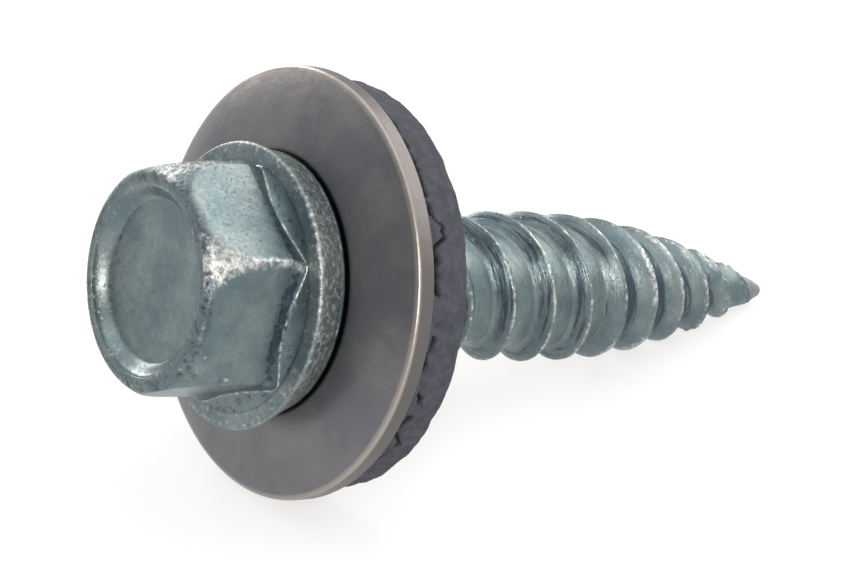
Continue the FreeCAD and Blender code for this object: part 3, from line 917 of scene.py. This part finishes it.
def makeSealRing(sizes, tear):
    outer, bore, edge = sizes["width"] / 2 + sizes["swell"], sizes["bore"] / 2, sizes["edge"]
    backLevel = float(dishLevel(washerSizes["width"] / 2, backRadius)) + sizes["depth"]
    profile = dishRun(bore, outer - 0.05, 16, backRadius, lift=0.004)
    steelBack = profile[-1][1]
    profile += [(outer, z) for z in np.linspace(steelBack + 0.04, backLevel - edge, 56)]
    profile += arcRun(outer - edge, backLevel - edge, edge, 8, 90, 10)
    profile += [(r, backLevel) for r in np.linspace(outer - edge - 0.2, bore, 20)]
    smoothRadii, smoothLevels = np.repeat(np.array(profile).T[:, :, None], sizes["steps"], axis=2)
    spots = spinOut(smoothRadii, smoothLevels, sizes["steps"])
    shift = Vector((sizes["seed"], 0, 0))
    rough, tearAndShade = np.zeros(smoothRadii.shape), np.zeros(smoothRadii.shape)
    roughFrom, pushedFrom, flatTo, wallFrom = outer - 1.2, outer - 0.7, outer - 0.4, outer - 0.2
    for column in range(sizes["steps"]):
        angle = math.radians(column * 360 / sizes["steps"])
        way = Vector((math.cos(angle), math.sin(angle), 0))
        swing = tear["swing"] * max(noise.noise(way * tear["swingTurns"] + shift), 0)
        swing += tear["jitter"] * noise.noise(way * tear["jitterTurns"] + shift)
        tornLine = steelBack + tear["level"] + swing
        wider = max(noise.noise(way * tear["widthTurns"] - shift) + tear["widthShift"], 0)
        tornWidth = tear["narrowest"] + tear["wider"] * wider
        tornShare = noise.noise(way * tear["shareTurns"] + shift * 3) * tear["shareSwing"] + tear["share"]
        tornShare = min(max(tornShare, 0), 1)
        for row, (radius, level) in enumerate(profile):
            if radius < roughFrom or level < steelBack:
                continue
            lumpSpot = Vector(spots[row, column]) * sizes["lumpScale"] + shift
            rough[row, column] = noise.fractal(lumpSpot, *sizes["lumpNoise"]) * sizes["lumps"]
            near = (level - tornLine) / tornWidth
            tearAndShade[row, column] = tornShare * math.exp(-near * near) * (radius > wallFrom)
    pushed = rough + sizes["proud"] - tearAndShade * tear["depth"]
    radii = smoothRadii + np.where(smoothRadii > pushedFrom, pushed, 0)
    onBack = (smoothLevels > backLevel - 0.01) & (smoothRadii < flatTo)
    along = np.where(onBack, 0, rough * sizes["lumpsAlong"])
    levels = np.minimum(smoothLevels + along, backLevel)
    wear = np.zeros((*radii.shape, 3))
    # painted shade: the torn groove drawn near black
    wear[..., 0] = np.clip(tearAndShade * tear["darkness"], 0, 1)
    return ringedMesh("sealRing", spinOut(radii, levels, sizes["steps"]), sealRubber, wear, loop=True)


placePiece("dishedWasher", makeSteelWasher(washerSizes), "washer", "washer_steel", "steel_washer")
placePiece("rubberSeal", makeSealRing(sealSizes, sealTear), "washer", "seal_rubber", "seal_ring")
print("washer and seal made")


# Floor, light and camera

def seenStraight(tree, *others):   # 1 for rays that see the white background
    rays = addNode(tree, "ShaderNodeLightPath").outputs
    seen = rays["Is Camera Ray"]
    for name in ("Is Transmission Ray", *others):
        seen = calc(tree, "MAXIMUM", seen, rays[name])
    return seen


floorPlan = {
    "half": 1.5,         # metres
    "colour": (0.82, 0.82, 0.82, 1),
    "roughness": 0.9,
    "glow": 1.08,        # how white it looks to the camera and in the metal
    "glowShare": 0.66,   # the rest keeps the shadow
}


def makeFloor(plan):
    material, tree, shader = newFinish("paleFloor", Roughness=plan["roughness"])
    shader.inputs["Base Color"].default_value = plan["colour"]
    glow = addNode(tree, "ShaderNodeEmission", {"Color": (1, 1, 1, 1), "Strength": plan["glow"]})
    share = calc(tree, "MULTIPLY", seenStraight(tree, "Is Glossy Ray"), plan["glowShare"])
    mixer = addNode(tree, "ShaderNodeMixShader", {0: share, 1: shader.outputs[0], 2: glow.outputs[0]})
    tree.links.new(mixer.outputs[0], tree.nodes["Material Output"].inputs[0])
    mesh = bpy.data.meshes.new("floor")
    half = plan["half"]
    corners = [(-half, -half, 0), (half, -half, 0), (half, half, 0), (-half, half, 0)]
    mesh.from_pydata(corners, [], [(0, 1, 2, 3)])
    mesh.materials.append(material)
    floor = bpy.data.objects.new("floor", mesh)
    bpy.context.scene.collection.objects.link(floor)


lightPlan = {  # soft panels: where they stand in metres, how wide and high, in watts
    "right": {"at": (0.19, -0.02, 0.12), "size": (0.24, 0.14), "power": 0.37},
    "front": {"at": (-0.129, -0.155, 0.096), "size": (0.035, 0.12), "power": 0.36},
    "back": {"at": (0.006, 0.211, 0.094), "size": (0.14, 0.08), "power": 0.36},
}
lampAim = Vector((0, 0, 0.007))
lampColour = (1.0, 0.91, 0.83)
overheadPlan = {"strength": 0.9, "spread": 70}   # an even panel far above, degrees across
skyPlan = {
    "level": 0.36,   # light from all round, where a mirror sees 1
    "shades": {  # soft dark room sides, a brighter one on the right
        "cameraSide": {"toward": (-0.86, -0.38, 0.35), "from": 0.45, "to": 0.94, "adds": -0.88},
        "backSide": {"toward": (-0.72, 0.69, 0.0), "from": 0.55, "to": 1.0, "adds": -0.36},
        "farSide": {"toward": (0.67, 0.74, 0.05), "from": 0.6, "to": 1.0, "adds": -0.38},
        "rightSide": {"toward": (0.83, -0.10, 0.55), "from": 0.45, "to": 0.97, "adds": 0.30},
    },
}


def makeLights(plan):
    for name, lamp in plan.items():
        data = bpy.data.lights.new(name + "Lamp", "AREA")
        data.shape = "RECTANGLE"
        data.energy = lamp["power"]
        data.size, data.size_y = lamp["size"]
        data.color = lampColour
        source = bpy.data.objects.new(name + "Lamp", data)
        source.location = lamp["at"]
        source.rotation_euler = (lampAim - Vector(lamp["at"])).to_track_quat("-Z", "Y").to_euler()
        bpy.context.scene.collection.objects.link(source)


def makeOverhead(plan):
    data = bpy.data.lights.new("overheadLamp", "SUN")
    data.energy = plan["strength"]
    data.angle = math.radians(plan["spread"])
    bpy.context.scene.collection.objects.link(bpy.data.objects.new("overheadLamp", data))


def makeSky(plan):
    world = bpy.data.worlds.new("studio")
    world.use_nodes = True
    tree = world.node_tree
    backdrop = tree.nodes["Background"]
    backdrop.inputs["Color"].default_value = (1, 1, 1, 1)
    look = addNode(tree, "ShaderNodeTexCoord").outputs["Generated"]
    shade = 1.0
    for side in plan["shades"].values():
        inputs = {0: look, 1: side["toward"]}
        toward = addNode(tree, "ShaderNodeVectorMath", inputs, operation="DOT_PRODUCT").outputs["Value"]
        shade = calc(tree, "ADD", shade, remap(tree, toward, side["from"], side["to"], 0.0, side["adds"]))
    mirrored = addNode(tree, "ShaderNodeLightPath").outputs["Is Glossy Ray"]
    level = remap(tree, mirrored, 0.0, 1.0, plan["level"], shade, smooth=False)
    strength = remap(tree, seenStraight(tree), 0.0, 1.0, level, 1.0, smooth=False)
    tree.links.new(strength, backdrop.inputs["Strength"])
    bpy.context.scene.world = world


# The camera as the photograph has it. Right, down and forward are told by the screw's axis and two
# ways across it, which are turned by roll from the drawing's +X and +Y.
cameraPlan = {
    "focalPixels": 1908.85,
    "imageWidth": 850,
    "sensor": 36.0,      # mm
    "roll": 18.8,        # degrees
    "axis": (0.75397642, 0.01270105, 0.65677868),
    "across": (-0.00957707, 0.99991934, -0.00834245),
    "out": (-0.65683167, 0.0, 0.75403724),
    "away": (-5.28948561, -0.04238091, 70.7395507),   # mm from the camera, right, down and forward
    "awayLevel": 0.858,  # mm along the axis, the point that away leads to
    "clip": (0.001, 10.0),
}


def makeCamera(plan):
    roll = math.radians(plan["roll"])
    across = math.cos(roll) * downWay - math.sin(roll) * sideWay
    out = math.cos(roll) * sideWay + math.sin(roll) * downWay
    ways = []
    for index in range(3):
        way = plan["axis"][index] * axisWay + plan["across"][index] * across + plan["out"][index] * out
        ways.append(way.normalized())
    right, down, forward = ways
    spot = bearingSpot + axisWay * plan["awayLevel"] * mm
    for way, value in zip(ways, plan["away"]):
        spot = spot - way * value * mm
    data = bpy.data.cameras.new("photoCamera")
    data.sensor_width = plan["sensor"]
    data.lens = plan["focalPixels"] * plan["sensor"] / plan["imageWidth"]
    data.clip_start, data.clip_end = plan["clip"]
    camera = bpy.data.objects.new("photoCamera", data)
    camera.matrix_world = Matrix.Translation(spot) @ Matrix((right, -down, -forward)).transposed().to_4x4()
    bpy.context.scene.collection.objects.link(camera)
    bpy.context.scene.camera = camera
    print("camera at", tuple(round(c, 4) for c in spot), "lens", round(data.lens, 2))


makeFloor(floorPlan)
makeLights(lightPlan)
makeOverhead(overheadPlan)
makeSky(skyPlan)
print("floor, lamps and sky made")
makeCamera(cameraPlan)
bpy.context.scene.view_settings.view_transform = "Standard"
